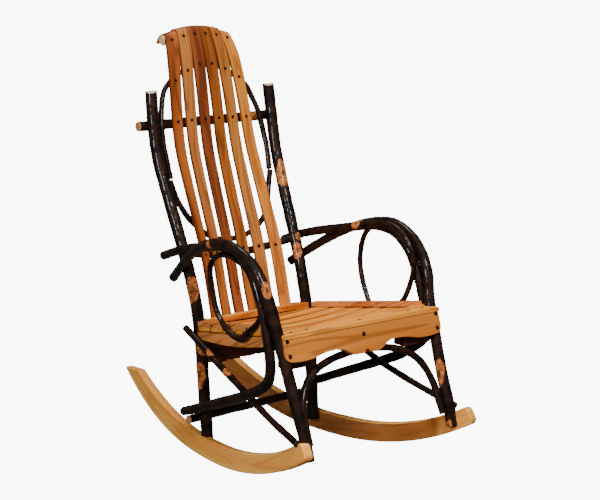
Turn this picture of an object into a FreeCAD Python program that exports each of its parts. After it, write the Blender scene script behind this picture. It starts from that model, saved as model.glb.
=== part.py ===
import FreeCAD, Part
import math
import os
from FreeCAD import Placement, Rotation, Vector

# Bent-pole rocking chair: bark poles bent to hoops carry a dished plank seat and six thin back slats.
# +Z is up, +X across the seat, and the chair looks towards -Y.
# The origin lies on the floor, on the middle plane, half way along the chair's depth.
# While it is drawn, every depth is measured back from the front edge of the seat;
# each piece then moves forwards by depth_middle.

doc = FreeCAD.newDocument("hickory_rocking_chair")
sheet = doc.addObject("Spreadsheet::Sheet", "Sizes")

sizes = {
    "depth_middle": 357.8,          # seat front to the middle of the chair's depth
    "frame_lift": 10.0,             # heights of the frame are measured from this far above the floor
    "fit_gap": 0.3,                 # air in a notch
    "board_gap": 1.0,               # air round the leaning poles in the front board
    "arc_share": 0.47,              # share of a run that a bend may use

    "rocker_thick": 26.0,
    "rocker_deep": 58.0,            # over the floor contact
    "rocker_nose_deep": 50.0,
    "rocker_middle_deep": 60.0,
    "rocker_tail_deep": 52.0,
    "rocker_front_radius": 875.0,   # floor curve: front, flatter middle and rear
    "rocker_middle_radius": 1400.0,
    "rocker_rear_radius": 691.0,
    "rocker_front_reach": 457.0,
    "rocker_middle_reach": 138.0,
    "rocker_rear_reach": 508.0,
    "rocker_touch": 344.0,          # floor contact, back from the seat front
    "rocker_right_lead": 27.0,      # the right rocker is nailed on that much further forward
    "rocker_right_out": 22.0,       # and further out
    "rocker_half_gap": 202.4,       # inner face from the middle plane, at the floor contact
    "rocker_splay": 8.3,            # degrees, wider at the front
    "rocker_nose_radius": 16.0,
    "rocker_tail_cut": 50.0,        # length that the sloping tail cut takes off the top edge
    "rocker_edge": 2.5,

    "post_radius": 17.0,
    "leg_radius": 16.0,
    "arm_radius": 14.0,
    "ring_radius": 7.5,
    "brace_radius": 9.5,
    "crest_radius": 14.0,
    "back_hoop_radius": 8.0,
    "low_pole_radius": 11.0,
    "arch_radius": 10.0,
    "arch_drop": 80.0,              # middle of the arch's top under the front board's top
    "stretcher_radius": 12.0,
    "batten_radius": 14.9,

    "slat_count": 6.0,
    "slat_thick": 7.0,
    "slat_twist_room": 6.5,         # that the edge of an outer slat stands forward by its twist
    "slat_roll_radius": 19.0,       # middle of the slat's thickness, round the batten
    "slat_roll_drop": 11.0,          # straight end below the roll
    "slat_roll_steps": 4.0,
    "slat_tilt_start": 1020.0,      # above this height the slats' edges tilt towards the arched top
    "slat_tilt_full": 1127.0,

    "seat_front": 50.0,             # front end of the sloping seat frame
    "seat_height": 417.0,           # top of the slat ends there
    "seat_slope": 9.0,              # degrees, falling to the back
    "seat_half_front": 270.0,
    "seat_half_taper": 0.13,        # half width lost per length
    "seat_slat_count": 6.0,
    "seat_slat_space": 3.0,
    "seat_slat_thick": 10.0,
    "seat_rear_room": 31.2,         # front edge of the rear slat, before the outer back slats
    "seat_rear_deep": 54.0,
    "seat_rear_behind": 60.0,       # reach behind the back slats of the space cut for them
    "seat_rear_across": 27.0,       # half width of that space at each slat
    "seat_rear_corners": 4.0,       # corners of the slat's line, from its foot, that the space follows
    "side_strip_wide": 22.0,
    "side_strip_tall": 14.0,
    "side_board_thick": 18.0,
    "side_board_front": 17.0,
    "side_board_middle": 31.0,
    "side_board_rear": 18.0,
    "side_board_low_share": 0.6,    # place of its deepest point along its length
    "side_board_inset": 2.0,
    "side_board_down": 14.8,        # its top edge, below the slats' top at their ends

    "front_board_deep": 49.5,
    "front_board_thick": 10.0,
    "front_board_rise": 3.0,        # its top over the seat slats' ends
    "front_board_half": 284.0,
    "front_board_taper": 7.0,
    "front_lip": 3.0,

    "apron_thick": 18.0,
    "apron_tilt": 15.0,             # degrees, lower edge forwards
    "apron_half": 282.0,
    "rear_apron_half": 190.0,
    "rear_apron_tall": 92.0,
    "rear_apron_thick": 18.0,
    "rear_apron_foot": 254.0,
    "block_wide": 100.0,
    "block_deep": 40.0,
    "block_start": 6.0,
    "block_tall": 84.0,
    "block_half": 210.0,

    "nail_radius": 3.5,
    "nail_tall": 1.2,
    "nail_sink": 0.1,               # top of the front board's nails below its face
    "nail_rise": 0.25,              # of a head over the middle of a twisted slat
    "screw_radius": 5.0,
    "screw_tall": 1.6,
    "head_share": 0.7,              # flat middle of a nail head, of its width
    "strip_nail_up": 6.0,
    "front_nail_back": 20.0,
    "leg_nail_up": 118.0,
}

# Runs of the bent poles on the +X side: across from the middle plane, back from the seat front,
# up from the floor.
routes = {
    "post": [(197, 406, 26), (200, 419, 155), (199, 437, 315), (199, 462, 430), (204, 503, 540),
             (209, 556, 662), (216, 610, 790), (217, 632, 885), (214, 647, 985)],
    "leg": [(219.5, 536, 475.5), (234, 495, 505), (254, 436, 546), (276, 368, 586), (298, 290, 617),
            (307, 215, 631), (306, 150, 620), (300, 96, 586), (294, 57, 527), (284, 32, 444),
            (275, 6, 358), (268, -34, 248), (265, -68, 162), (264, -84, 104)],
    "leg_right": [(217, 544, 470), (234, 495, 505), (254, 436, 546), (276, 368, 586), (298, 293, 616),
                  (307, 218, 626), (306, 167, 616), (304, 123, 592), (298, 80, 553), (292, 53, 507),
                  (284, 38, 438), (278, 9, 357), (275, -27, 245), (276, -58, 158), (277, -72, 99)],
    "arm": [(226, 574, 533), (228, 505, 559), (233, 440, 576), (244, 372, 590), (262, 295, 607),
            (275, 230, 617), (281, 168, 605), (286, 121, 563), (287, 84, 495), (287, 58, 420),
            (289, 40, 340), (288, 45, 292), (280, 92, 258), (268, 180, 219), (252, 306, 172),
            (238, 400, 136), (229, 474, 109)],
    "arm_right": [(226, 582, 530), (228, 505, 559), (233, 440, 576), (244, 372, 590), (262, 295, 607),
                  (275, 230, 617), (281, 168, 605), (286, 121, 563), (287, 84, 495), (287, 58, 420),
                  (289, 38, 365), (286.5, 52, 318), (276, 125, 264), (263.7, 218, 224), (251.3, 312, 185),
                  (241.5, 385, 153.5), (230, 470, 117)],
    "ring_right": [(264, 150, 398), (259, 182, 368), (262, 235, 375), (264, 260, 403), (266, 288, 460),
                   (268, 299, 503), (268, 296, 547), (262, 277, 586), (252, 243, 611), (252, 213, 626),
                   (254, 183, 630), (254, 155, 629), (256, 117, 612), (259, 89, 577), (262, 79, 538),
                   (264, 82, 503), (265, 95, 464), (266, 114, 425), (271, 160, 388), (272, 180, 376)],
    "ring": [(264, 168, 398), (259, 186, 368), (262, 240, 378), (265, 285, 422), (271, 312, 500),
             (276, 304, 566), (277, 255, 596), (276, 190, 588), (272, 128, 545), (268, 98, 490),
             (266, 108, 440), (271, 160, 392), (272, 180, 378)],
    "brace": [(229, 469, 348.5), (236, 396, 319), (246, 290, 273), (254, 176, 227), (274, 56, 186),
              (291, -70, 153)],
    "back_hoop": [(181, 599, 741), (184.5, 611, 790), (185.5, 622, 821), (184, 631, 849), (181.5, 639, 876),
                  (178, 646, 903), (171, 655, 930), (162, 664, 956), (149, 671, 983), (122, 677, 1005),
                  (92, 681, 1023), (62, 684, 1037), (22, 688, 1049)],
    "low_hoop": [(184, 598, 738), (171, 589, 690), (149, 567, 637), (112, 551, 595), (62, 550, 568),
                 (20, 551.5, 560)],
    "low_pole": [(190, 507, 546), (150, 514, 539), (120, 524, 532), (60, 538, 522), (20, 542.5, 520)],
    "batten": [(118, 722, 1115), (66, 722, 1126.5), (22, 722, 1130.6)],
    "arch": [(245, -66, 138), (241, -33, 215), (231, -19, 249), (209, -7, 284), (168, 4, 314), (100, 12, 333),
             (30, 14, 340)],
    "crest": [(-250, 659, 886), (220, 659, 891)],
    "stretcher": [(-238, 441, 94), (222, 441, 103)],
}

# Middle line of a back slat seen from the side: back from the seat front, up from the floor.
slat_side = [(429, 244), (470, 402), (507, 540), (571, 690), (626, 822), (648.5, 930), (667, 1020),
             (685, 1085), (705, 1127)]
# Width of a slat: height, and width. The slats widen to a nearly closed top.
slat_width = [(240, 35), (820, 35), (930, 36), (1020, 38.5), (1085, 41), (1127, 38.6), (1180, 37.4)]
# Half spread of the slats: height, and distance of the outer slat's middle from the middle plane.
slat_spread = [(240, 130), (780, 130), (895, 126), (1008, 116.5), (1085, 107), (1127, 98), (1180, 95)]
# Dish of the back: height, and how far behind the outer slats the middle of the back lies.
slat_dish = [(240, 6), (320, 13), (385, 24), (430, 27), (540, 23), (690, 15), (790, 7), (885, 0), (1180, 0)]
# Extra length of the slats from the outer one to the middle one, which gives the arched top.
slat_extra = [-3, 8, 12]
# Fall of the rolled top towards the sides, per length across: outer, next and middle slats.
slat_tilt = [0.27, 0.17, 0.05]
# Nail rows of the back: heights on the outer, the next and the middle slats.
nail_rows = [(1119, 1129, 1134), (1008, 1034, 1049), (894, 896, 897), (536, 536, 536)]
# Nails of the front board, across; nails of the side strips, along the seat.
front_nails = [-240, -186, 3, 186, 240]
strip_nails = [130, 305]
# Lower edge of the front apron: across from the middle plane, down from its top.
apron_edge = [(285, 60), (245, 65), (200, 65), (142, 53), (85, 53), (48, 76), (11, 76), (6, 66)]
# Screws of the front apron: across, and down from its top.
apron_spots = [(271, 9), (269, 48), (-271, 9), (-269, 48), (-5, 26)]
# Dip of each seat slat's middle below its ends, from the front.
seat_dips = [22, 23, 22, 20, 16, 11]
rear_dip = 6

cell = 0


def put(name, value):
    """Write one named size to the sheet."""
    global cell
    cell += 1
    sheet.set("A%d" % cell, name)
    sheet.set("B%d" % cell, repr(float(value)))
    sheet.setAlias("B%d" % cell, name)


def put_points(name, points, words):
    for number, point in enumerate(points, 1):
        for word, value in zip(words, point):
            put("%s_%s_n%d" % (name, word, number), value)


for name, value in sizes.items():
    put(name, value)
for name, points in routes.items():
    put_points(name + "_run", points, ("across", "back", "up"))
put_points("slat_side", slat_side, ("back", "up"))
put_points("slat_spread", slat_spread, ("up", "across"))
put_points("slat_dish", slat_dish, ("up", "deep"))
put_points("slat_extra", [(value,) for value in slat_extra], ("long",))
put_points("slat_tilt", [(value,) for value in slat_tilt], ("fall",))
put_points("slat_width", slat_width, ("up", "across"))
put_points("seat_dip", [(value,) for value in seat_dips], ("deep",))
put("rear_dip", rear_dip)
put_points("nail_row", nail_rows, ("outer", "next", "middle"))
put_points("front_nail", [(value,) for value in front_nails], ("across",))
put_points("strip_nail", [(value,) for value in strip_nails], ("along",))
put_points("apron_edge", apron_edge, ("across", "drop"))
put_points("apron_spot", apron_spots, ("across", "drop"))
doc.recompute()


def size(name):
    return float(getattr(sheet, name))


def points_of(name, count, words):
    return [tuple(size("%s_%s_n%d" % (name, word, number)) for word in words)
            for number in range(1, count + 1)]


def route(name):
    return [Vector(*p) for p in points_of(name + "_run", len(routes[name]), ("across", "back", "up"))]


gap = size("fit_gap")
straight_turn = 1e-3                # radians; a smaller corner stays a corner
forwards = Vector(0, -size("depth_middle"), size("frame_lift"))
sides = (("left", -1), ("right", 1))


def mirrored(points, side):
    return [Vector(side * p.x, p.y, p.z) for p in points]


def both_ways(points):
    """A symmetric route from one end to the other, from its right half."""
    return mirrored(points, -1) + points[::-1]


def rounded(points):
    """Straight runs joined by tangent arcs: pairs of (kind, points)."""
    share = size("arc_share")
    pieces = []
    start = points[0]
    for before, corner, after in zip(points, points[1:], points[2:]):
        back = before - corner
        ahead = after - corner
        reach = share * min(back.Length, ahead.Length)
        back.normalize()
        ahead.normalize()
        half_turn = (math.pi - back.getAngle(ahead)) / 2
        if half_turn < straight_turn:
            pieces.append(("line", (start, corner)))
            start = corner
            continue
        first = corner + back * reach
        last = corner + ahead * reach
        inwards = back + ahead
        inwards.normalize()
        radius = reach / math.tan(half_turn)
        middle = corner + inwards * (radius / math.cos(half_turn) - radius)
        pieces.append(("line", (start, first)))
        pieces.append(("arc", (first, middle, last)))
        start = last
    pieces.append(("line", (start, points[-1])))
    return pieces


def edges_of(pieces):
    return [Part.Arc(*ends).toShape() if kind == "arc" else Part.makeLine(*ends) for kind, ends in pieces]


def pole(points, radius):
    """A round pole along a route."""
    path = Part.Wire(edges_of(rounded(points)))
    ring = Part.Wire(Part.makeCircle(radius, points[0], points[1] - points[0]))
    return path.makePipeShell([ring], True, True)


def without(shape, tools):
    """Notch a shape for the pieces that cross it, and keep its largest solid."""
    for tool in tools:
        shape = shape.cut(tool)
    return max(shape.Solids, key=lambda solid: solid.Volume)


def piece(name, shape):
    """A sub-part whose solid is drawn in the chair's place."""
    item = doc.addObject("Part::Feature", name)
    item.Label = name
    item.Shape = shape
    item.Placement = Placement(forwards, Rotation()).multiply(item.Placement)
    parts.append(item)
    return item


def plane_of(body, role):
    return [item for item in body.Origin.OriginFeatures if item.Role == role][0]


def drawing(body, role, name, pieces):
    sketch = body.newObject("Sketcher::SketchObject", name)
    sketch.AttachmentSupport = [(plane_of(body, role), "")]
    sketch.MapMode = "FlatFace"
    for kind, ends in pieces:
        flat = [Vector(p.x, p.y, 0) for p in ends]
        sketch.addGeometry(Part.Arc(*flat) if kind == "arc" else Part.LineSegment(*flat))
    return sketch


def closed(points):
    """A polygon as sketch lines."""
    flat = [Vector(p[0], p[1], 0) for p in points]
    return [("line", ends) for ends in zip(flat, flat[1:] + flat[:1])]


def board(name, role, pieces, thick):
    """A body padded both ways from an origin plane; thick is an expression."""
    body = doc.addObject("PartDesign::Body", name + "_board")
    sketch = drawing(body, role, name + "_outline", pieces)
    pad = body.newObject("PartDesign::Pad", name + "_pad")
    pad.Profile = sketch
    pad.Midplane = True
    pad.setExpression("Length", thick)
    doc.recompute()
    return body


def pocket(body, role, name, pieces):
    """Cut an outline right through the body, both ways."""
    sketch = drawing(body, role, name + "_outline", pieces)
    cut = body.newObject("PartDesign::Pocket", name)
    cut.Profile = sketch
    cut.Midplane = True
    cut.Type = "ThroughAll"
    doc.recompute()


def bevel(body, name, edge_size):
    """Break all edges of the body's tip."""
    tip = body.Tip
    chamfer = body.newObject("PartDesign::Chamfer", name)
    chamfer.Base = (tip, ["Edge%d" % (n + 1) for n in range(len(tip.Shape.Edges))])
    chamfer.setExpression("Size", edge_size)
    doc.recompute()


parts = []

# Rockers: two bent boards, closer together at the back.
touch = size("rocker_touch")
deep = size("rocker_deep")


def rocker_point(along, above):
    """A point square to a rocker's floor curve, seen from the side."""
    middle_radius = size("rocker_middle_radius")
    rear_radius = size("rocker_rear_radius")
    middle_turn = math.asin(size("rocker_middle_reach") / middle_radius)
    radius = size("rocker_front_radius") if along < 0 else middle_radius
    centre = Vector(0, radius, 0)
    if along > size("rocker_middle_reach"):
        radius = rear_radius
        centre += Vector(math.sin(middle_turn), -math.cos(middle_turn), 0) * (middle_radius - rear_radius)
    turn = math.asin((along - centre.x) / radius)
    return centre + Vector(math.sin(turn), -math.cos(turn), 0) * (radius - above)


def rocker_outline():
    front = -size("rocker_front_reach")
    middle = size("rocker_middle_reach")
    rear = size("rocker_rear_reach")
    nose_deep = size("rocker_nose_deep")
    tail_along = rear - size("rocker_tail_cut")
    touch_low = Vector(0, 0, 0)
    touch_top = Vector(0, deep, 0)
    nose_low = rocker_point(front, 0)
    nose_top = rocker_point(front, nose_deep)
    middle_low = rocker_point(middle, 0)
    tail_low = rocker_point(rear, 0)
    tail_top = rocker_point(tail_along, size("rocker_tail_deep"))
    front_top = rocker_point(front / 2, (deep + nose_deep) / 2)
    rear_top = rocker_point(tail_along / 2, size("rocker_middle_deep"))
    return [
        ("arc", (touch_low, rocker_point(front / 2, 0), nose_low)),
        ("line", (nose_low, nose_top)),
        ("arc", (nose_top, front_top, touch_top)),
        ("arc", (touch_top, rear_top, tail_top)),
        ("line", (tail_top, tail_low)),
        ("arc", (tail_low, rocker_point((middle + rear) / 2, 0), middle_low)),
        ("arc", (middle_low, rocker_point(middle / 2, 0), touch_low)),
    ]


rockers = {}
for word, side in sides:
    name = "rocker_" + word
    body = board(name, "YZ_Plane", rocker_outline(), "Sizes.rocker_thick")
    half = size("rocker_half_gap") + size("rocker_thick") / 2
    own_touch = touch
    if side > 0:
        own_touch -= size("rocker_right_lead")
        half += size("rocker_right_out")
    body.Placement = Placement(Vector(side * half, own_touch, -size("frame_lift")) + forwards,
                               Rotation(Vector(0, 0, 1), side * size("rocker_splay")))
    padded = body.Tip
    nose = [n + 1 for n, edge in enumerate(padded.Shape.Edges)
            if max(edge.BoundBox.YLength, edge.BoundBox.ZLength) < size("rocker_edge")
            and edge.BoundBox.Center.y < -size("rocker_front_reach") / 2]
    round_nose = body.newObject("PartDesign::Fillet", name + "_nose")
    round_nose.Base = (padded, ["Edge%d" % n for n in nose])
    round_nose.setExpression("Radius", "Sizes.rocker_nose_radius")
    doc.recompute()
    bevel(body, name + "_edges", "Sizes.rocker_edge")
    body.Label = name
    parts.append(body)
    rockers[word] = body


def in_chair(item):
    """A finished item's solid, back in the drawing's own place."""
    shape = item.Shape.copy()
    shape.translate(forwards * -1)
    return shape


def grown(name, side, extra):
    """The space that a pole takes on either side of the chair; a few poles bend otherwise on the right."""
    own_route = name + "_right" if side > 0 and name + "_right" in routes else name
    shape = pole(route(own_route), size(name + "_radius") + extra)
    return shape if side > 0 else shape.mirror(Vector(0, 0, 0), Vector(1, 0, 0))


def slat_face_points(extra):
    """A slat's middle line with its roll round the batten, seen from the side."""
    points = points_of("slat_side", len(slat_side), ("back", "up"))
    low_up = points[-3][1]
    high_up = points[-1][1]
    raised = []
    for back, up in points:
        share = max(0.0, (up - low_up) / (high_up - low_up))
        raised.append(Vector(back, up + extra * share, 0))
    return raised


spread = points_of("slat_spread", len(slat_spread), ("up", "across"))
dish = points_of("slat_dish", len(slat_dish), ("up", "deep"))
widths = points_of("slat_width", len(slat_width), ("up", "across"))
extras = [value[0] for value in points_of("slat_extra", len(slat_extra), ("long",))]
tilts = [value[0] for value in points_of("slat_tilt", len(slat_tilt), ("fall",))]
half_slat = size("slat_thick") / 2
twist_room = size("slat_twist_room")
slat_count = int(size("slat_count"))
outer_place = (slat_count - 1) / 2.0


def value_at(points, up):
    """The value at a height, from a list of heights and values."""
    for (low, near), (high, far) in zip(points, points[1:]):
        if up <= high:
            return near + (far - near) * (up - low) / (high - low)


def place_of(number):
    """A slat's place across the back: -1 and 1 are the outer slats."""
    return (number - 1 - outer_place) / outer_place


def rank_of(number):
    """0 for the outer slats, rising to the middle ones."""
    return min(number - 1, slat_count - number)


def across_at(number, up, along):
    """The direction across a slat, square to its run."""
    slope = -2 * value_at(dish, up) * place_of(number) / value_at(spread, up)
    across = Vector(1, slope, 0)
    across -= along * across.dot(along)
    return across.normalize()


def slat_corners(number):
    """Corners of a slat's middle line, with the roll as a polygon round the batten."""
    points = slat_face_points(extras[rank_of(number)])
    heading = (points[-1] - points[-2]).normalize()
    radius = size("slat_roll_radius")
    to_centre = Vector(heading.y, -heading.x, 0)
    centre = points[-1] + to_centre * radius
    steps = int(size("slat_roll_steps"))
    step = (math.pi - math.atan2(heading.x, heading.y)) / steps
    corners = points[:-1]
    for number_of_step in range(steps):
        turn = Rotation(Vector(0, 0, 1), -math.degrees(step * (number_of_step + 1 / 2)))
        corners.append(centre - turn.multVec(to_centre) * (radius / math.cos(step / 2)))
    corners.append(centre + Vector(radius, -size("slat_roll_drop"), 0))
    place = place_of(number)
    return [Vector(place * value_at(spread, p.y), p.x + value_at(dish, p.y) * (1 - place * place), p.y)
            for p in corners]


def tilt_at(number, up):
    """Rise of a slat's edge per length across, at a height."""
    start = size("slat_tilt_start")
    share = (up - start) / (size("slat_tilt_full") - start)
    fall = tilts[rank_of(number)] * min(1.0, max(0.0, share))
    return -fall if place_of(number) > 0 else fall


def slat_lines(number, offsets, widths=widths):
    """Lines along a slat, each set off by (share of its half width, distance to the front)."""
    corners = slat_corners(number)
    runs = [(b - a).normalize() for a, b in zip(corners, corners[1:])]
    lines = [[] for _ in offsets]
    for corner, before, after in zip(corners, runs[:1] + runs, runs + runs[-1:]):
        along = (before + after).normalize()
        across = across_at(number, corner.z, along)
        front = across.cross(along)
        mitre = 1 / math.cos(before.getAngle(after) / 2)
        half_wide = value_at(widths, corner.z) / 2
        for line, (share, forward) in zip(lines, offsets):
            aside = share * half_wide
            rise = Vector(0, 0, tilt_at(number, corner.z) * aside)
            line.append(corner + across * aside + front * forward * mitre + rise)
    return lines


def between(lines):
    """The solid between four lines along a slat's corners."""
    edges = [edges_of(rounded(line)) for line in lines]
    faces = []
    for ring in zip(*edges):
        faces += [Part.makeRuledSurface(a, b) for a, b in zip(ring, ring[1:] + ring[:1])]
    for end in (0, -1):
        ends = [line[end] for line in lines]
        faces.append(Part.Face(Part.makePolygon(ends + ends[:1])))
    shell = Part.makeShell(faces)
    shell.sewShape()
    solid = Part.makeSolid(shell)
    if solid.Volume < 0:
        solid.reverse()
    return solid


def twisted_slat(number):
    """A slat's solid, narrow below and wider at the top."""
    return between(slat_lines(number, [(-1, half_slat), (1, half_slat), (1, -half_slat), (-1, -half_slat)]))


def behind_slat(number):
    """The space of a slat and what lies behind it, at the height of the seat."""
    half = size("seat_rear_across")
    front = half_slat + gap
    behind = -size("seat_rear_behind")
    ends = [(spread[0][0], 2 * half), (spread[-1][0], 2 * half)]
    lines = slat_lines(number, [(-1, front), (1, front), (1, behind), (-1, behind)], ends)
    return between([line[:int(size("seat_rear_corners"))] for line in lines])


# Front legs and arms: one bent pole each, from behind the back post over the arm to the rocker.
legs = {}
arms = {}
posts = {}
for word, side in sides:
    rocker = in_chair(rockers[word])
    posts[word] = without(grown("post", side, 0), [rocker])
    legs[word] = without(grown("leg", side, 0), [rocker, grown("post", side, gap)])
    arms[word] = without(grown("arm", side, 0), [grown("post", side, gap), grown("leg", side, gap)])
    piece("rear_post_" + word, posts[word])
    piece("leg_hoop_" + word, legs[word])
    piece("arm_hoop_" + word, arms[word])

# Seat frame: everything that lies on the sloping seat plane is drawn from its front end.
slope = size("seat_slope")
seat_turn = Rotation(Vector(1, 0, 0), -slope)
seat_place = Placement(Vector(0, size("seat_front"), size("seat_height")) + forwards, seat_turn)


def half_width(along):
    return size("seat_half_front") - size("seat_half_taper") * along


def on_seat(body, along=0.0, up=0.0, across=0.0, turn=0.0):
    offset = seat_turn.multVec(Vector(across, along, up))
    body.Placement = Placement(seat_place.Base + offset, seat_turn.multiply(Rotation(Vector(0, 0, 1), turn)))


def notched(name, body, tools):
    """The body's solid with notches, as the finished sub-part."""
    shape = body.Shape.copy()
    shape.translate(forwards * -1)
    return piece(name, without(shape, tools))


def dished(name, along, deep_name, half_front, half_rear, dip):
    """A seat slat: an arched strip, cut to the seat's taper."""
    thick = size("seat_slat_thick")
    long_half = max(half_front, half_rear)
    top = [Vector(-long_half, 0, 0), Vector(0, -dip, 0), Vector(long_half, 0, 0)]
    low = [point - Vector(0, thick, 0) for point in top]
    outline = [("arc", tuple(top)), ("line", (top[2], low[2])),
               ("arc", tuple(low[::-1])), ("line", (low[0], top[0]))]
    body = board(name, "XZ_Plane", outline, "Sizes." + deep_name)
    wide = size(deep_name)
    if half_front > half_rear:
        for word, side in sides:
            corner = [(side * half_front, -wide / 2), (side * half_rear, wide / 2),
                      (side * (half_front + thick), wide / 2 + thick),
                      (side * (half_front + thick), -wide / 2 - thick)]
            pocket(body, "XY_Plane", name + "_side_" + word, closed(corner))
    on_seat(body, along=along)
    return body


# The seat slats share the depth up to the outer back slats.
slat_foot, slat_knee = slat_face_points(extras[0])[:2]
slat_lean = math.atan2(slat_knee.x - slat_foot.x, slat_knee.y - slat_foot.y)
down = math.radians(slope)
slats_behind = slat_foot.x + (size("seat_height") - slat_foot.y) * math.tan(slat_lean) - size("seat_front")
seat_reach = slats_behind / (math.cos(down) + math.sin(down) * math.tan(slat_lean))
rear_start = seat_reach - size("seat_rear_room")
pitch = (rear_start - size("seat_slat_space")) / size("seat_slat_count")
put("seat_slat_deep", pitch - size("seat_slat_space"))
doc.recompute()
dips = [value[0] for value in points_of("seat_dip", len(seat_dips), ("deep",))]
pole_spaces = [grown(name, side, gap) for name in ("leg", "arm", "post") for word, side in sides]
for number in range(1, int(size("seat_slat_count")) + 1):
    start = (number - 1) * pitch + size("seat_slat_space")
    name = "seat_slat_%d" % number
    body = dished(name, start + size("seat_slat_deep") / 2, "seat_slat_deep",
                  half_width(start), half_width(start + size("seat_slat_deep")), dips[number - 1])
    notched(name, body, pole_spaces)

rear_half = size("rear_apron_half")
rear_slat = dished("seat_rear_slat", rear_start + size("seat_rear_deep") / 2, "seat_rear_deep",
                   rear_half, rear_half, size("rear_dip"))
slat_spaces = [behind_slat(number) for number in range(1, slat_count + 1)]
notched("seat_rear_slat", rear_slat, pole_spaces + slat_spaces)

strip_tall = size("side_strip_tall")
strip_long = rear_start - size("seat_slat_space")
for word, side in sides:
    inner = -size("side_strip_wide")
    corners = [(side * half_width(0), 0), (side * half_width(strip_long), strip_long),
               (side * (half_width(strip_long) + inner), strip_long), (side * (half_width(0) + inner), 0)]
    strip = board("seat_side_strip_" + word, "XY_Plane", closed(corners), "Sizes.side_strip_tall")
    on_seat(strip, up=strip_tall / 2)
    notched("seat_side_strip_" + word, strip, pole_spaces)

rear_end = rear_start + size("seat_rear_deep")
rear_corners = [(-rear_half, rear_start), (rear_half, rear_start),
                (rear_half, rear_end), (-rear_half, rear_end)]
rear_strip = board("seat_rear_strip", "XY_Plane", closed(rear_corners), "Sizes.side_strip_tall")
on_seat(rear_strip, up=strip_tall / 2)
notched("seat_rear_strip", rear_strip, pole_spaces + slat_spaces)

# Side boards under the slat ends.
board_turn = math.degrees(math.atan(size("seat_half_taper")))
board_long = (rear_start + size("seat_slat_space")) / math.cos(math.radians(board_turn))
for word, side in sides:
    name = "seat_side_board_" + word
    low_front = Vector(0, -size("side_board_front"), 0)
    low_middle = Vector(board_long * size("side_board_low_share"), -size("side_board_middle"), 0)
    low_rear = Vector(board_long, -size("side_board_rear"), 0)
    high_front = Vector(0, 0, 0)
    high_rear = Vector(board_long, 0, 0)
    outline = [("line", (high_front, low_front)), ("arc", (low_front, low_middle, low_rear)),
               ("line", (low_rear, high_rear)), ("line", (high_rear, high_front))]
    body = board(name, "YZ_Plane", outline, "Sizes.side_board_thick")
    across = half_width(0) - size("side_board_inset") - size("side_board_thick") / 2
    on_seat(body, up=-size("side_board_down"), across=side * across, turn=side * board_turn)
    notched(name, body, pole_spaces)

# Front board and front apron, let into the front legs.
lip = size("front_lip")
board_half = size("front_board_half")
board_height = size("seat_height") + size("front_board_rise")
board_back = size("front_board_deep")
taper = size("front_board_taper")
front_corners = [(-board_half, -lip), (board_half, -lip), (board_half - taper, board_back),
                 (taper - board_half, board_back)]
front_board = board("seat_front_board", "XY_Plane", closed(front_corners), "Sizes.front_board_thick")
front_board_middle = board_height - size("front_board_thick") / 2
front_board.Placement = Placement(Vector(0, 0, front_board_middle) + forwards, Rotation())
front_nail_foot = board_height - size("nail_tall") - size("nail_sink")
front_spots = [Vector(across, size("front_nail_back"), front_nail_foot)
               for across, in points_of("front_nail", len(front_nails), ("across",))]
nail_space = size("nail_radius") + gap
nail_recesses = [Part.makeCylinder(nail_space, 2 * size("nail_tall"), spot) for spot in front_spots]
board_spaces = [grown(name, side, size("board_gap")) for name in ("leg", "arm") for word, side in sides]
notched("seat_front_board", front_board, board_spaces + nail_recesses)

half = size("apron_half")
right = [Vector(half, 0, 0)] + [Vector(across, -drop, 0) for across, drop
                                in points_of("apron_edge", len(apron_edge), ("across", "drop"))]
bottom_run = rounded(right + mirrored(right, -1)[::-1])
apron_outline = bottom_run + [("line", (Vector(-half, 0, 0), Vector(half, 0, 0)))]
apron = board("front_apron", "XZ_Plane", apron_outline, "Sizes.apron_thick")
apron_top = board_height - size("front_board_thick")
apron.Placement = Placement(Vector(0, size("apron_thick") / 2, apron_top) + forwards,
                            Rotation(Vector(1, 0, 0), -size("apron_tilt")))
room = 2 * half
over_apron = Part.makeBox(2 * room, 2 * room, strip_tall, Vector(-room, -room, apron_top))
apron_space = in_chair(apron)
front_apron = notched("front_apron", apron, pole_spaces + [over_apron])

# Corner blocks behind the apron's ends.
seat_parts = [in_chair(item) for item in parts if item.Label.startswith("seat_s")]
for word, side in sides:
    name = "corner_block_" + word
    near = side * (size("block_half") - size("block_wide") / 2)
    far = side * (size("block_half") + size("block_wide") / 2)
    corners = [(near, 0), (far, 0), (far, size("block_deep")), (near, size("block_deep"))]
    body = board(name, "XY_Plane", closed(corners), "Sizes.block_tall")
    block_middle = apron_top - size("block_tall") / 2
    body.Placement = Placement(Vector(0, size("block_start"), block_middle) + forwards, Rotation())
    notched(name, body, pole_spaces + seat_parts + [apron_space])

# Rear apron between the posts, against the front of the back slats.
tall = size("rear_apron_tall")
rear_thick = size("rear_apron_thick")
foot_up = size("rear_apron_foot")
foot_back = slat_foot.x + (foot_up - slat_foot.y) * math.tan(slat_lean)
rear_outline = closed([(-rear_half, 0), (rear_half, 0), (rear_half, tall), (-rear_half, tall)])
rear_apron = board("rear_apron", "XZ_Plane", rear_outline, "Sizes.rear_apron_thick")
in_front = (half_slat + gap + twist_room + rear_thick / 2) / math.cos(slat_lean)
rear_apron.Placement = Placement(Vector(0, foot_back - in_front, foot_up) + forwards,
                                 Rotation(Vector(1, 0, 0), -math.degrees(slat_lean)))
rear_slat_space = in_chair([item for item in parts if item.Label == "seat_rear_slat"][0])
last_slat_space = in_chair([item for item in parts if item.Label == "seat_slat_6"][0])
notched("rear_apron", rear_apron, pole_spaces + [rear_slat_space, last_slat_space])

# Back slats: thin strips, fanned out, twisted to a dished back below, and rolled over the batten.
for number in range(1, slat_count + 1):
    piece("back_slat_%d" % number, twisted_slat(number))

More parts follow.
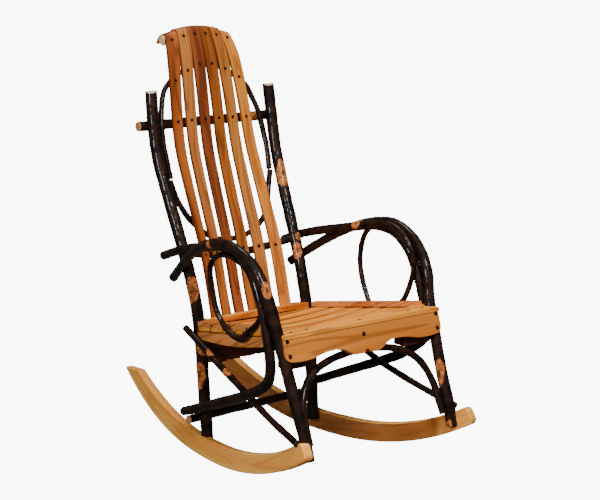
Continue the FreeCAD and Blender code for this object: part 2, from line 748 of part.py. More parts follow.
# Thin poles of the back, and the batten that the slats roll over.
post_spaces = [grown("post", side, gap) for word, side in sides]
crest_route = route("crest")
crest_radius = size("crest_radius")
hoop_route = both_ways(route("back_hoop"))
low_route = both_ways(route("low_hoop"))
hoop_radius = size("back_hoop_radius")
hoop_space = pole(hoop_route, hoop_radius + gap)
back_slats = [in_chair(item) for item in parts if item.Label.startswith("back_slat")]
piece("crest_pole", without(pole(crest_route, crest_radius), post_spaces + back_slats + [hoop_space]))
piece("back_hoop", without(pole(hoop_route, hoop_radius), post_spaces + back_slats))
piece("low_back_hoop", without(pole(low_route, hoop_radius), post_spaces + back_slats + [hoop_space]))
low_space = pole(low_route, hoop_radius + gap)
piece("low_back_pole", without(pole(both_ways(route("low_pole")), size("low_pole_radius")),
                               post_spaces + back_slats + [low_space]))
piece("top_batten", without(pole(both_ways(route("batten")), size("batten_radius")), back_slats))

# Under the seat: arched front brace, side braces, rear stretcher, and the thin rings beside the seat.
arch_run = route("arch")
arch_foot = arch_run[0].z
arch_stretch = (board_height - size("arch_drop") - arch_foot) / (arch_run[-1].z - arch_foot)
arch_run = [Vector(p.x, p.y, arch_foot + (p.z - arch_foot) * arch_stretch) for p in arch_run]
arch = pole(both_ways(arch_run), size("arch_radius"))
near_arch = [item for item in parts if item.Label.startswith(("corner_block", "front_apron"))]
arch_tools = pole_spaces + [in_chair(item) for item in near_arch]
piece("front_arch_brace", without(arch, arch_tools))
piece("rear_stretcher", without(pole(route("stretcher"), size("stretcher_radius")), pole_spaces))
for word, side in sides:
    own_poles = [grown(name, side, gap) for name in ("leg", "arm", "post")]
    rocker_space = in_chair(rockers[word])
    piece("side_brace_" + word, without(grown("brace", side, 0), own_poles + [rocker_space]))
    ring = grown("ring", side, 0)
    near_seat = [shape for shape in seat_parts if shape.BoundBox.intersect(ring.BoundBox)]
    piece("arm_ring_" + word, without(ring, own_poles + near_seat))

# Nail and screw heads, each group one sub-part.


def heads(name, spots, radius, tall):
    """Flat-topped heads that stand on the given points, along the given directions."""
    solids = [Part.makeCone(radius, radius * size("head_share"), tall, point, way) for point, way in spots]
    piece(name, Part.makeCompound(solids))


def on_slat(number, height):
    """The point on a back slat's front face at a height, and the face's direction."""
    face = slat_lines(number, [(0, half_slat + size("nail_rise"))])[0]
    edge = Part.Wire(edges_of(rounded(face))).discretize(Distance=size("nail_tall"))
    for low, high in zip(edge, edge[1:]):
        if low.z <= height < high.z:
            along = (high - low).normalize()
            return low, across_at(number, height, along).cross(along)


back_spots = []
for row in points_of("nail_row", len(nail_rows), ("outer", "next", "middle")):
    back_spots += [on_slat(number, row[rank_of(number)]) for number in range(1, slat_count + 1)]
heads("back_slat_nails", back_spots, size("nail_radius"), size("nail_tall"))

upwards = Vector(0, 0, 1)
seat_spots = [(spot, upwards) for spot in front_spots]
for along, in points_of("strip_nail", len(strip_nails), ("along",)):
    for word, side in sides:
        spot = Vector(side * half_width(along), along, size("strip_nail_up"))
        way = Rotation(upwards, side * board_turn).multVec(Vector(side, 0, 0))
        seat_spots.append((seat_turn.multVec(spot) + seat_place.Base - forwards, seat_turn.multVec(way)))
heads("seat_nails", seat_spots, size("nail_radius"), size("nail_tall"))

apron_way = Rotation(Vector(1, 0, 0), -size("apron_tilt"))
apron_spot_list = []
for across, drop in points_of("apron_spot", len(apron_spots), ("across", "drop")):
    spot = apron_way.multVec(Vector(across, -size("apron_thick") / 2, -drop))
    spot += Vector(0, size("apron_thick") / 2, apron_top)
    apron_spot_list.append((spot, apron_way.multVec(Vector(0, -1, 0))))
heads("apron_screws", apron_spot_list, size("screw_radius"), size("screw_tall"))

leg_nail_up = size("leg_nail_up")
leg_nail_spots = []
for word, side in sides:
    above, below = route("leg_right" if side > 0 else "leg")[-2:]
    share_down = (leg_nail_up - above.z) / (below.z - above.z)
    spot = above + (below - above) * share_down - Vector(size("leg_radius"), 0, 0)
    leg_nail_spots.append((Vector(side * spot.x, spot.y, spot.z), Vector(-side, 0, 0)))
heads("leg_nails", leg_nail_spots, size("nail_radius"), size("nail_tall"))

doc.recompute()

os.makedirs("parts", exist_ok=True)
for item in parts:
    if "Invalid" in item.State or "Error" in item.State:
        raise RuntimeError("state of " + item.Label)
    shape = item.Shape
    if shape.isNull() or not shape.isValid() or shape.Volume <= 0:
        raise RuntimeError("shape of " + item.Label)
    shape.exportStep("parts/%s.step" % item.Label)
    print(item.Label, len(shape.Solids), round(shape.Volume / 1000, 1))
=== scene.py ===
import bpy
import math
from mathutils import Matrix, Vector


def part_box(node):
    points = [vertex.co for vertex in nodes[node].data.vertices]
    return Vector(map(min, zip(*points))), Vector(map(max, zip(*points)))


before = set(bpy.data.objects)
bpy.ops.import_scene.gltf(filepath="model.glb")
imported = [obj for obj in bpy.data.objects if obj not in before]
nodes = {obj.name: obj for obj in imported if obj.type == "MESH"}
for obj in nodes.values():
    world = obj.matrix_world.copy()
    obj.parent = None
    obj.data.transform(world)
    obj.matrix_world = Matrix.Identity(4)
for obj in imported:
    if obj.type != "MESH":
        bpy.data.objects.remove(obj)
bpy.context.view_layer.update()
MM = 0.001


# Shader helpers.
class Shader:
    """A node-built material, with short ways to add nodes."""

    def __init__(self, name):
        self.material = bpy.data.materials.new(name)
        self.material.use_nodes = True
        self.tree = self.material.node_tree
        self.bsdf = self.tree.nodes["Principled BSDF"]
        self.place = self.add("ShaderNodeTexCoord").outputs["Object"]

    def add(self, kind, **settings):
        node = self.tree.nodes.new(kind)
        for key, value in settings.items():
            setattr(node, key, value)
        return node

    def put(self, socket, value):
        """Link a socket, or set a plain value."""
        if isinstance(value, bpy.types.NodeSocket):
            self.tree.links.new(value, socket)
        else:
            socket.default_value = value

    def math(self, operation, *values, clamp=False):
        node = self.add("ShaderNodeMath", operation=operation, use_clamp=clamp)
        for socket, value in zip(node.inputs, values):
            self.put(socket, value)
        return node.outputs[0]

    def vector_math(self, operation, *values):
        node = self.add("ShaderNodeVectorMath", operation=operation)
        for socket, value in zip(node.inputs, values):
            self.put(socket, value)
        gives_number = operation in ("DOT_PRODUCT", "LENGTH", "DISTANCE")
        return node.outputs["Value"] if gives_number else node.outputs[0]

    def split(self, vector):
        node = self.add("ShaderNodeSeparateXYZ")
        self.put(node.inputs[0], vector)
        return node.outputs

    def join(self, *values):
        node = self.add("ShaderNodeCombineXYZ")
        for socket, value in zip(node.inputs, values):
            self.put(socket, value)
        return node.outputs[0]

    def noise(self, vector, scale, detail=3.0, rough=0.5, bend=0.0):
        node = self.add("ShaderNodeTexNoise")
        self.put(node.inputs["Vector"], vector)
        node.inputs["Scale"].default_value = scale
        node.inputs["Detail"].default_value = detail
        node.inputs["Roughness"].default_value = rough
        node.inputs["Distortion"].default_value = bend
        return node.outputs["Fac"]

    def ramp(self, value, low, high, start=0.0, end=1.0):
        """Map low..high to start..end, smoothly and held outside."""
        node = self.add("ShaderNodeMapRange", interpolation_type="SMOOTHSTEP")
        for socket, item in zip(node.inputs, (value, low, high, start, end)):
            self.put(socket, item)
        return node.outputs[0]

    def along_steps(self, value, steps):
        """A value that runs straight between (place, value) steps."""
        total = steps[0][1]
        for (low, start), (high, end) in zip(steps, steps[1:]):
            node = self.add("ShaderNodeMapRange")
            for socket, item in zip(node.inputs, (value, low, high, 0.0, end - start)):
                self.put(socket, item)
            total = self.math("ADD", total, node.outputs[0])
        return total

    def mix(self, share, first, second, blend="MIX"):
        """Blend two colours."""
        node = self.add("ShaderNodeMix", data_type="RGBA", blend_type=blend)
        for socket, item in zip((node.inputs["Factor"], node.inputs["A"], node.inputs["B"]),
                                (share, first, second)):
            self.put(socket, (*item, 1.0) if isinstance(item, tuple) else item)
        return node.outputs["Result"]

    def bump(self, height, depth, strength=1.0):
        node = self.add("ShaderNodeBump")
        node.inputs["Strength"].default_value = strength
        node.inputs["Distance"].default_value = depth
        self.put(node.inputs["Height"], height)
        self.put(self.bsdf.inputs["Normal"], node.outputs[0])

    def finish(self, colour, roughness, gloss=0.0, gloss_rough=0.2, shine=0.25):
        self.put(self.bsdf.inputs["Base Color"], colour)
        self.bsdf.inputs["Specular IOR Level"].default_value = shine
        self.put(self.bsdf.inputs["Roughness"], roughness)
        self.bsdf.inputs["Coat Weight"].default_value = gloss
        self.bsdf.inputs["Coat Roughness"].default_value = gloss_rough
        return self.material


def colour(red, green, blue):
    """A colour given as screen values of 0 to 255."""
    def linear(value):
        value /= 255
        return value / 12.92 if value <= 0.04045 else ((value + 0.055) / 1.055) ** 2.4
    return tuple(linear(value) for value in (red, green, blue))


def scaled(shader, value, factor):
    return shader.math("MULTIPLY", value, factor)


# Bare wood. The grain runs along one direction, as lines of a stretched noise. Each pair is how often
# that noise turns in a metre, across the grain and along it.
FLOW_TURNS = (16.0, 1.6)
BROAD_TURNS = (22.0, 1.1)
PORE_TURNS = (900.0, 26.0)
# How much the grain's lines and the pores' flecks darken the wood, and how deep they are.
LINE_SHARE = 0.55
FLECK_SHARE = 0.4
GRAIN_DEPTH = 0.12 * MM
WOOD_GLOSS = 0.04
WOOD_SHINE = 0.12
# Iron blackens the wood to this radius round the middle of a nail or a screw.
NAIL_STAIN = 5.0 * MM
SCREW_STAIN = 6.3 * MM
STAIN_EDGE = 0.6 * MM
IRON_STAIN = colour(44, 14, 6)


def wood(name, along, across, tones, seed, contrast=1.0, rings=7.0, shade=None, nails=(),
         nail_stain=NAIL_STAIN):
    """tones is (light, main, dark); along and across give the grain's own coordinates.
    shade is a function that gives the share of painted shade, with that shade's tint.
    nails are the places where the iron has blackened the wood."""
    shader = Shader(name)
    v = along(shader)
    u = across(shader)

    def stretched(turns, shift):
        return shader.join(scaled(shader, u, turns[0]), scaled(shader, v, turns[1]), shift)

    swell = shader.noise(stretched(FLOW_TURNS, seed), 1.0, 2.0, 0.5, 0.3)
    bands = shader.math("SINE", scaled(shader, swell, rings * math.tau))
    lines = shader.ramp(bands, 0.1, 1.0)
    broad = shader.noise(stretched(BROAD_TURNS, seed + 5), 1.0, 3.0, 0.55)
    pores = shader.noise(stretched(PORE_TURNS, seed), 1.0, 2.0, 0.6)
    flecks = shader.ramp(pores, 0.58, 0.72)
    light, main, dark = tones
    base = shader.mix(shader.ramp(broad, 0.3, 0.7), main, light)
    base = shader.mix(scaled(shader, lines, LINE_SHARE * contrast), base, dark)
    base = shader.mix(scaled(shader, flecks, FLECK_SHARE * contrast), base, dark)
    if shade:
        share, tint = shade(shader)
        base = shader.mix(share, base, tint, "MULTIPLY")
    for point in nails:
        far = shader.vector_math("DISTANCE", shader.place, point)
        stain = shader.ramp(far, nail_stain + STAIN_EDGE, nail_stain - STAIN_EDGE)
        base = shader.mix(stain, base, IRON_STAIN)
    shader.bump(shader.math("ADD", lines, flecks), GRAIN_DEPTH, 0.5)
    rough = shader.ramp(pores, 0.3, 0.7, 0.42, 0.56)
    return shader.finish(base, rough, WOOD_GLOSS, 0.3, WOOD_SHINE)


def axis(number):
    """Place along one axis: 0 is x, 1 is y, 2 is z."""
    return lambda shader: shader.split(shader.place)[number]


# Heights between which the fan of back slats narrows, and the share of its width that is left.
FAN_LOW, FAN_HIGH, FAN_SHARE = 0.80, 1.17, 0.80


def fan(shader):
    """Distance across the fanned back, evened out over the height."""
    x, y, z = shader.split(shader.place)
    return shader.math("MULTIPLY", x, shader.ramp(z, FAN_LOW, FAN_HIGH, 1.0, 1.0 / FAN_SHARE))


# The rockers' boards are cut to about this radius.
ROCKER_RADIUS = 0.86


def rocker_turn(shader):
    """Distance along the curve of a rocker."""
    x, y, z = shader.split(shader.place)
    down = shader.math("SUBTRACT", ROCKER_RADIUS, z)
    return scaled(shader, shader.math("ARCTAN2", y, down), ROCKER_RADIUS)


def rocker_reach(shader):
    """Distance from the middle of a rocker's curve; x turns the lines on the top edge."""
    x, y, z = shader.split(shader.place)
    down = shader.math("SUBTRACT", ROCKER_RADIUS, z)
    reach = shader.vector_math("LENGTH", shader.join(0.0, y, down))
    return shader.math("ADD", reach, scaled(shader, x, 0.3))


def upright(shader):
    """Across the grain of a board that stands on edge."""
    x, y, z = shader.split(shader.place)
    return shader.math("ADD", z, scaled(shader, y, 0.5))


def flat_across(shader):
    """Across the grain of a board that lies flat."""
    x, y, z = shader.split(shader.place)
    return shader.math("ADD", y, scaled(shader, z, 0.8))


# Tones of the wood: (light, main, dark).
slat_tones = [
    (colour(164, 88, 34), colour(126, 60, 20), colour(78, 32, 10)),
    (colour(186, 116, 56), colour(158, 90, 38), colour(104, 52, 20)),
    (colour(154, 82, 40), colour(122, 58, 26), colour(70, 28, 12)),
    (colour(168, 94, 36), colour(132, 68, 24), colour(84, 38, 12)),
    (colour(190, 120, 54), colour(160, 90, 34), colour(106, 54, 18)),
    (colour(214, 138, 52), colour(192, 108, 34), colour(126, 62, 18)),
]
seat_tones = (colour(252, 172, 66), colour(240, 142, 42), colour(164, 80, 20))
side_tones = (colour(226, 146, 76), colour(204, 116, 52), colour(124, 60, 24))
rocker_tones = (colour(255, 190, 96), colour(250, 164, 68), colour(206, 120, 46))
# The corner blocks' tones are darkened as painted shade, for they lie in shadow under the seat.
block_shaded_tones = (colour(96, 44, 26), colour(70, 32, 20), colour(42, 20, 12))
batten_tones = (colour(250, 214, 158), colour(238, 194, 130), colour(196, 144, 84))
apron_tones = (colour(212, 130, 52), colour(190, 106, 38), colour(116, 56, 16))
# The rear apron's tones are darkened as painted shade, for it lies in shadow under the seat.
rear_shaded_tones = (colour(110, 58, 32), colour(84, 42, 22), colour(50, 24, 14))


def give(name, material):
    """Put one material on a CAD piece."""
    mesh = nodes[name].data
    mesh.materials.clear()
    mesh.materials.append(material)


def heads(name):
    """Middles of the loose heads in a group."""
    mesh = nodes[name].data
    group = list(range(len(mesh.vertices)))

    def root(index):
        while group[index] != index:
            index = group[index]
        return index

    for edge in mesh.edges:
        group[root(edge.vertices[0])] = root(edge.vertices[1])
    found = {}
    for vertex in mesh.vertices:
        found.setdefault(root(vertex.index), []).append(vertex.co)
    return [tuple(sum(points, Vector()) / len(points)) for points in found.values()]


def heads_on(name, low, high):
    """The heads of a group between two places across the chair."""
    return [point for point in heads(name) if low < point[0] < high]


# Height, and distance of the outer slats' middles from the middle plane.
SLAT_SPREAD = [(0.79, 0.130), (0.905, 0.126), (1.018, 0.1165), (1.095, 0.107), (1.137, 0.098), (1.19, 0.095)]
# Height, and half the width of a slat.
SLAT_HALF = [(0.83, 0.0175), (0.94, 0.018), (1.03, 0.0192), (1.095, 0.0205), (1.137, 0.0193)]
# The slats stand at places -2.5 to 2.5 across the back.
OUTER_PLACE = 2.5
# Painted shade in a band inside a slat's long edges, where it meets its neighbours: where it ends, where it
# is full, and how dark it gets.
BAND_NONE, BAND_FULL, BAND_SHARE = 2.4 * MM, 0.8 * MM, 0.75
BAND_SHADE_TINT = (0.42, 0.28, 0.18)


def shaded_sides(number):
    """A back slat gets painted shade at its two long edges, where it meets its neighbours."""
    place = (number - 1 - OUTER_PLACE) / OUTER_PLACE

    def shade(shader):
        x, y, z = shader.split(shader.place)
        middle = shader.math("MULTIPLY", shader.along_steps(z, SLAT_SPREAD), place)
        aside = shader.math("ABSOLUTE", shader.math("SUBTRACT", x, middle))
        room = shader.math("SUBTRACT", shader.along_steps(z, SLAT_HALF), aside)
        return shader.ramp(room, BAND_NONE, BAND_FULL, 0.0, BAND_SHARE), BAND_SHADE_TINT

    return shade


for number, tones in enumerate(slat_tones, 1):
    name = "back_slat_%d" % number
    low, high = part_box(name)
    give(name, wood("slat_wood_%d" % number, axis(2), fan, tones, 3.0 * number, shade=shaded_sides(number),
                    nails=heads_on("back_slat_nails", low[0], high[0])))

# Painted shade on the far rocker's inner face, which lies in the seat's shadow: its tint, and where it starts
# behind the nose and is full.
INNER_SHADE_TINT = (0.40, 0.30, 0.36)
NOSE_END, SHADE_FULL = -0.42, -0.36


def shaded_inner_face(shader):
    """Painted shade: the far rocker's inner face, shadowed by the seat, is darker than its top edge and its
    nose.
    """
    outward = shader.split(shader.add("ShaderNodeNewGeometry").outputs["Normal"])
    x, y, z = shader.split(shader.place)
    upright_face = shader.ramp(outward[2], 0.5, 0.3)
    behind_nose = shader.ramp(y, NOSE_END, SHADE_FULL)
    return shader.math("MULTIPLY", upright_face, behind_nose), INNER_SHADE_TINT


# Painted shade at a seat slat's joints, where each slat's edge steps against its neighbour's: its tint, how
# dark it gets, and its depths at the two edges, where it ends and where it is full.
JOINT_SHADE_TINT = (0.42, 0.28, 0.2)
JOINT_SHADE_SHARE = 0.8
REAR_NONE, REAR_FULL = 11 * MM, 5 * MM
FRONT_NONE, FRONT_FULL = 4 * MM, 1 * MM


def shaded_joints(name):
    """A seat slat gets painted shade towards the joints with its neighbours."""
    low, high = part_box(name)

    def shade(shader):
        y = shader.split(shader.place)[1]
        rear = shader.ramp(y, high[1] - REAR_NONE, high[1] - REAR_FULL)
        front = shader.ramp(y, low[1] + FRONT_NONE, low[1] + FRONT_FULL)
        return scaled(shader, shader.math("MAXIMUM", rear, front), JOINT_SHADE_SHARE), JOINT_SHADE_TINT

    return shade


seat_names = ["seat_slat_%d" % number for number in range(1, 7)]
for number, name in enumerate(seat_names + ["seat_rear_slat", "seat_rear_strip"]):
    give(name, wood(name + "_wood", axis(0), flat_across, seat_tones, 40.0 + 2.7 * number,
                    shade=shaded_joints(name)))
front_board_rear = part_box("seat_front_board")[1][1]
front_nails = [point for point in heads("seat_nails") if point[1] < front_board_rear]
give("seat_front_board", wood("seat_front_wood", axis(0), flat_across, seat_tones, 66.0, nails=front_nails))
for side in ("left", "right"):
    for name in ("seat_side_strip_" + side, "seat_side_board_" + side):
        give(name, wood(name + "_wood", axis(1), upright, side_tones, 70.0 + len(name)))
    give("corner_block_" + side, wood("block_wood_" + side, axis(2), axis(0), block_shaded_tones, 90.0 + len(side)))
give("rocker_left", wood("rocker_wood_left", rocker_turn, rocker_reach, rocker_tones, 84.0, 0.7))
give("rocker_right", wood("rocker_wood_right", rocker_turn, rocker_reach, rocker_tones, 85.0, 0.7,
                          shade=shaded_inner_face))
give("top_batten", wood("batten_wood", axis(0), upright, batten_tones, 98.0))
give("front_apron", wood("apron_wood", axis(0), upright, apron_tones, 101.0, 0.9, rings=4.0,
                         nails=heads("apron_screws"), nail_stain=SCREW_STAIN))
give("rear_apron", wood("rear_apron_wood", axis(0), upright, rear_shaded_tones, 104.0))

# Bark poles. Tones: two of the bark, one of its flecks, and two of the wood where the bark is worn off.
BARK_TONES = (colour(8, 4, 3), colour(46, 23, 12))
FLECK_TONE = colour(78, 42, 22)
PEELED_TONES = (colour(128, 62, 26), colour(206, 126, 62))
pale_end = (colour(196, 160, 118), colour(236, 220, 190))
tan_end = (colour(150, 96, 58), colour(206, 150, 96))
dark_end = (colour(52, 28, 18), colour(92, 56, 36))
# Cut ends below this height are tan on every pole.
LOW_END = 0.2
# A worn place ends where its distance, as a share of its reach, and the noise add up to these.
RAGGEDNESS = 0.9
WORN_NONE, WORN_FULL = 1.5, 1.3
# A worn place has a knot in its middle, whose size is a share of the place's reach.
KNOT_INNER, KNOT_OUTER, KNOT_DARKNESS = 0.26, 0.34, 0.7
# Depth below a cut end that its bare wood reaches, from none to full, and how far round the edge counts.
END_DEPTH_NONE, END_DEPTH_FULL = -6 * MM, -4 * MM
END_REACH = 1.4
# An upright end is seen nearly edge-on, so its bare wood comes down a little on the side that faces this way.
TIPPED_WAY = (-0.23, -0.28, 0.93)
TIPPED_NONE, TIPPED_FULL = 0.5 * MM, 2.0 * MM
UPRIGHT = 0.9
# Depth of the bark's relief, and how much its broad lumps count against the fine ones.
BARK_DEPTH = 0.5 * MM
PATCHY_HEIGHT = 1.2
BARK_GLOSS = 0.22
BARK_SHINE = 0.1


def bark(name, ends, patches, end_tones):
    """Dark varnished bark. ends are cut ends: point, outward way, radius.
    patches are worn places: point, reach, and how much shorter they are in height than across."""
    shader = Shader(name)
    outward = shader.add("ShaderNodeNewGeometry").outputs["Normal"]
    patchy = shader.noise(shader.place, 34.0, 4.0, 0.6)
    fine = shader.noise(shader.place, 210.0, 4.0, 0.65)
    speck = shader.noise(shader.place, 620.0, 2.0, 0.5)
    base = shader.mix(shader.ramp(patchy, 0.35, 0.7), *BARK_TONES)
    base = shader.mix(shader.ramp(fine, 0.6, 0.8, 0.0, 0.3), base, FLECK_TONE)
    height = shader.math("ADD", scaled(shader, patchy, PATCHY_HEIGHT), fine)
    bare = 0.0
    for point, reach, squash in patches:
        offset = shader.vector_math("SUBTRACT", shader.place, point)
        offset = shader.vector_math("MULTIPLY", offset, (1.0, 1.0, squash))
        far = shader.vector_math("LENGTH", offset)
        ragged = shader.math("ADD", scaled(shader, far, 1 / reach), scaled(shader, patchy, RAGGEDNESS))
        bare = shader.math("MAXIMUM", bare, shader.ramp(ragged, WORN_NONE, WORN_FULL))
        knot = shader.ramp(far, KNOT_OUTER * reach, KNOT_INNER * reach)
        clear = shader.math("SUBTRACT", 1.0, scaled(shader, knot, KNOT_DARKNESS))
        bare = shader.math("MINIMUM", bare, clear)
    streaks = shader.noise(shader.place, 120.0, 3.0, 0.6)
    peeled = shader.mix(shader.ramp(streaks, 0.35, 0.65), *PEELED_TONES)
    base = shader.mix(bare, base, peeled)
    for point, way, radius in ends:
        tones = tan_end if point[2] < LOW_END else end_tones
        offset = shader.vector_math("SUBTRACT", shader.place, point)
        depth = shader.vector_math("DOT_PRODUCT", offset, way)
        near = shader.math("LESS_THAN", shader.vector_math("LENGTH", offset), END_REACH * radius)
        facing = shader.ramp(shader.vector_math("DOT_PRODUCT", outward, way), 0.35, 0.6)
        face = shader.math("MULTIPLY", shader.ramp(depth, END_DEPTH_NONE, END_DEPTH_FULL), near)
        cut = shader.math("MULTIPLY", face, facing)
        if way[2] > UPRIGHT:
            tipped = shader.vector_math("DOT_PRODUCT", offset, TIPPED_WAY)
            front = shader.math("MULTIPLY", shader.ramp(tipped, TIPPED_NONE, TIPPED_FULL), near)
            cut = shader.math("MAXIMUM", cut, front)
        base = shader.mix(cut, base, shader.mix(shader.ramp(fine, 0.3, 0.7), *tones))
    shader.bump(height, BARK_DEPTH, 0.35)
    rough = shader.ramp(speck, 0.3, 0.8, 0.42, 0.6)
    return shader.finish(base, rough, BARK_GLOSS, 0.07, BARK_SHINE)


# A pole's cut end is found as faces in one plane, of at least this area, that fill most of a circle.
END_AREA = 120 * MM * MM
END_PLANE = 0.5 * MM
END_FILL = 0.75


def cut_ends(mesh):
    """Flat discs among a pole's faces: (centre, outward way, radius)."""
    groups = {}
    for face in mesh.polygons:
        key = (tuple(round(value, 2) for value in face.normal),
               round(face.center.dot(face.normal) / END_PLANE))
        groups.setdefault(key, []).append(face)
    found = []
    for faces in groups.values():
        area = sum(face.area for face in faces)
        if area < END_AREA:
            continue
        middle = sum((face.center * face.area for face in faces), Vector()) / area
        points = [mesh.vertices[index].co for face in faces for index in face.vertices]
        reach = max((point - middle).length for point in points)
        if area > END_FILL * math.pi * reach ** 2:
            found.append((middle, faces[0].normal.copy(), reach))
    return found


pole_words = ("rear_post", "leg_hoop", "arm_hoop", "arm_ring", "side_brace", "crest_pole", "back_hoop",
              "low_back_hoop", "low_back_pole", "front_arch_brace", "rear_stretcher")
# Worn places of the bark: point, reach, squash in height.
patches = {
    "rear_post_left": [((-0.213, 0.102, 0.463), 0.021, 0.5), ((-0.215, 0.064, 0.231), 0.017, 0.45),
                       ((-0.204, 0.062, 0.315), 0.022, 0.7)],
    "arm_hoop_left": [((-0.260, -0.029, 0.615), 0.013, 1.0)],
    "leg_hoop_left": [((-0.299, -0.312, 0.547), 0.014, 0.5), ((-0.306, -0.090, 0.630), 0.013, 1.0)],
    "rear_post_right": [((0.207, 0.210, 0.741), 0.022, 0.42), ((0.191, 0.124, 0.526), 0.015, 0.5),
                        ((0.206, 0.133, 0.565), 0.011, 0.8)],
    "leg_hoop_right": [((0.274, -0.032, 0.620), 0.020, 0.8), ((0.259, -0.389, 0.252), 0.018, 0.4),
                       ((0.261, -0.432, 0.115), 0.009, 0.5)],
    "arm_hoop_right": [((0.250, -0.057, 0.623), 0.014, 0.8)],
    "crest_pole": [((0.165, 0.289, 0.898), 0.028, 1.0)],
    "side_brace_left": [((-0.236, -0.015, 0.315), 0.016, 0.8), ((-0.249, -0.099, 0.278), 0.014, 0.8)],
}
# Tones of the cut ends; the other poles' are dark.
end_tones = {"rear_post": pale_end, "crest_pole": tan_end, "rear_stretcher": tan_end}
# The hooped poles get thinner towards their rear tips: place along the chair, and loss of radius in mm.
slimming = {
    "leg_hoop": [(-0.33, 0.0), (-0.21, 1.5), (-0.07, 2.4), (0.08, 3.0), (0.18, 3.4)],
    "arm_hoop": [(-0.20, 0.0), (-0.05, 0.6), (0.08, 1.1), (0.21, 1.9)],
}


def slim_texture(kind, steps):
    """A blend along the chair whose grey is the share of the greatest loss of radius."""
    texture = bpy.data.textures.new(kind + "_slimming", "BLEND")
    texture.use_flip_axis = "VERTICAL"
    texture.use_color_ramp = True
    elements = texture.color_ramp.elements
    greatest = steps[-1][1]
    for number, (place, loss) in enumerate(steps):
        spot = (1 + place) / 2
        element = elements[number] if number < 2 else elements.new(spot)
        element.position = spot
        element.color = (loss / greatest, loss / greatest, loss / greatest, 1.0)
    return texture


# Bark lumps, and the grid of the even mesh that they and the thinning need.
LUMP_WIDTH = 35 * MM
LUMP_TALL = 2.4 * MM
GRID = 2.2 * MM

slim_textures = {kind: slim_texture(kind, steps) for kind, steps in slimming.items()}
clouds = bpy.data.textures.new("bark_lumps", "CLOUDS")
clouds.noise_scale = LUMP_WIDTH
clouds.noise_depth = 2
for name in nodes:
    if not name.startswith(pole_words):
        continue
    item = nodes[name]
    kind = name.removesuffix("_left").removesuffix("_right")
    give(name, bark(name + "_bark", cut_ends(item.data), patches.get(name, []),
                    end_tones.get(kind, dark_end)))
    remesh = item.modifiers.new("even", "REMESH")
    remesh.mode = "VOXEL"
    remesh.voxel_size = GRID
    remesh.use_smooth_shade = True
    if kind in slimming:
        slim = item.modifiers.new("slimming", "DISPLACE")
        slim.texture = slim_textures[kind]
        slim.texture_coords = "LOCAL"
        slim.strength = -slimming[kind][-1][1] * MM
        slim.mid_level = 0.0
    lumps = item.modifiers.new("lumps", "DISPLACE")
    lumps.texture = clouds
    lumps.texture_coords = "LOCAL"
    lumps.strength = LUMP_TALL
    lumps.mid_level = 0.5

# Nail and screw heads.
IRON_TONES = (colour(20, 8, 5), colour(58, 24, 13))
IRON_DEPTH = 0.1 * MM
for name in ("back_slat_nails", "seat_nails", "apron_screws", "leg_nails"):
    shader = Shader(name + "_iron")
    mottle = shader.noise(shader.place, 900.0, 3.0)
    shader.bump(mottle, IRON_DEPTH, 0.6)
    give(name, shader.finish(shader.mix(mottle, *IRON_TONES), 0.6, 0.0, 0.2, 0.05))

# Soft edges on the boards.
EDGE = 0.9 * MM
board_words = ("seat_", "back_slat_", "corner", "front_apron", "rear_apron")
for name, item in nodes.items():
    if name.startswith(board_words) and "nails" not in name:
        bevel = item.modifiers.new("edges", "BEVEL")
        bevel.width = EDGE
        bevel.segments = 2
        bevel.limit_method = "ANGLE"
        bevel.angle_limit = math.radians(40)
        bevel.harden_normals = False

# Floor, light and camera. The floor is wide enough to reach the horizon in the picture.
FLOOR_HALF = 300.0
FLOOR_GLOW = 9.0
WORLD_GLOW = 0.14


def linked(name, data):
    """A new object in the scene."""
    item = bpy.data.objects.new(name, data)
    bpy.context.scene.collection.objects.link(item)
    return item


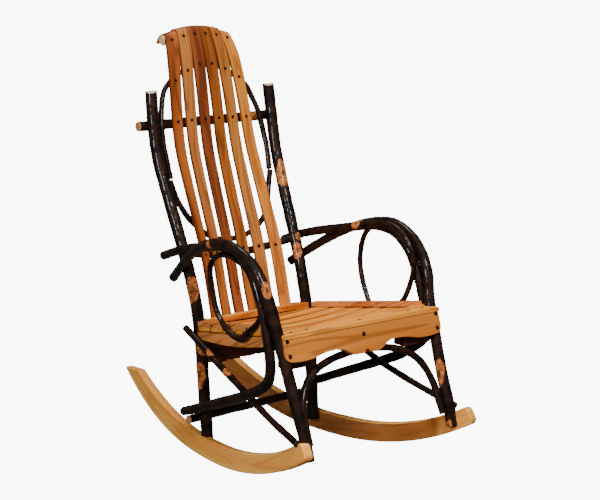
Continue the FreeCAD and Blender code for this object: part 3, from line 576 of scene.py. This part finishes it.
floor_mesh = bpy.data.meshes.new("floor")
floor_mesh.from_pydata([(-FLOOR_HALF, -FLOOR_HALF, 0), (FLOOR_HALF, -FLOOR_HALF, 0),
                        (FLOOR_HALF, FLOOR_HALF, 0), (-FLOOR_HALF, FLOOR_HALF, 0)], [], [(0, 1, 2, 3)])
floor = linked("floor", floor_mesh)
floor_shader = Shader("floor_white")
floor_shader.bsdf.inputs["Emission Color"].default_value = (1, 1, 1, 1)
floor_shader.bsdf.inputs["Emission Strength"].default_value = FLOOR_GLOW
floor.data.materials.append(floor_shader.finish((0.8, 0.8, 0.8, 1.0), 0.9))
floor.visible_diffuse = False
floor.visible_glossy = False

world = bpy.data.worlds.new("studio")
bpy.context.scene.world = world
world.use_nodes = True
background = world.node_tree.nodes["Background"]
background.inputs["Color"].default_value = (1, 0.97, 0.93, 1)
background.inputs["Strength"].default_value = WORLD_GLOW

LIT_POINT = Vector((0, 0, 0.5))


def soft_light(name, place, width, power):
    """A square light aimed at the middle of the chair; power is in watts."""
    data = bpy.data.lights.new(name, "AREA")
    data.shape = "SQUARE"
    data.size = width
    data.energy = power
    item = linked(name, data)
    item.location = place
    item.rotation_euler = (LIT_POINT - Vector(place)).to_track_quat("-Z", "Y").to_euler()


soft_light("key", (-1.2, -3.0, 3.4), 0.9, 200)
soft_light("fill", (-3.2, -1.0, 1.6), 0.6, 62)
soft_light("top", (0.4, 0.6, 4.0), 1.2, 60)

# The camera fitted to the photo: its angles, its distance from the target, and its focal length.
AZIMUTH = math.radians(-42.0)
ELEVATION = math.radians(10.66)
ROLL = math.radians(1.0)
DISTANCE = 5.0107
TARGET = Vector((0.0601, -0.0342, 0.5650))
FOCAL_PIXELS = 1803.456
PHOTO_WIDTH = 600
SENSOR_WIDTH = 36
backwards = Vector((math.sin(AZIMUTH) * math.cos(ELEVATION), -math.cos(AZIMUTH) * math.cos(ELEVATION),
                    math.sin(ELEVATION)))
rightwards = Vector((math.cos(AZIMUTH), math.sin(AZIMUTH), 0))
upwards = backwards.cross(rightwards)
rolled = Matrix.Rotation(ROLL, 3, backwards)
rightwards = rolled @ rightwards
upwards = rolled @ upwards
camera = linked("camera", bpy.data.cameras.new("camera"))
turn = Matrix((rightwards, upwards, backwards)).transposed().to_4x4()
camera.matrix_world = Matrix.Translation(TARGET + DISTANCE * backwards) @ turn
camera.data.sensor_width = SENSOR_WIDTH
camera.data.lens = FOCAL_PIXELS / PHOTO_WIDTH * SENSOR_WIDTH
bpy.context.scene.camera = camera
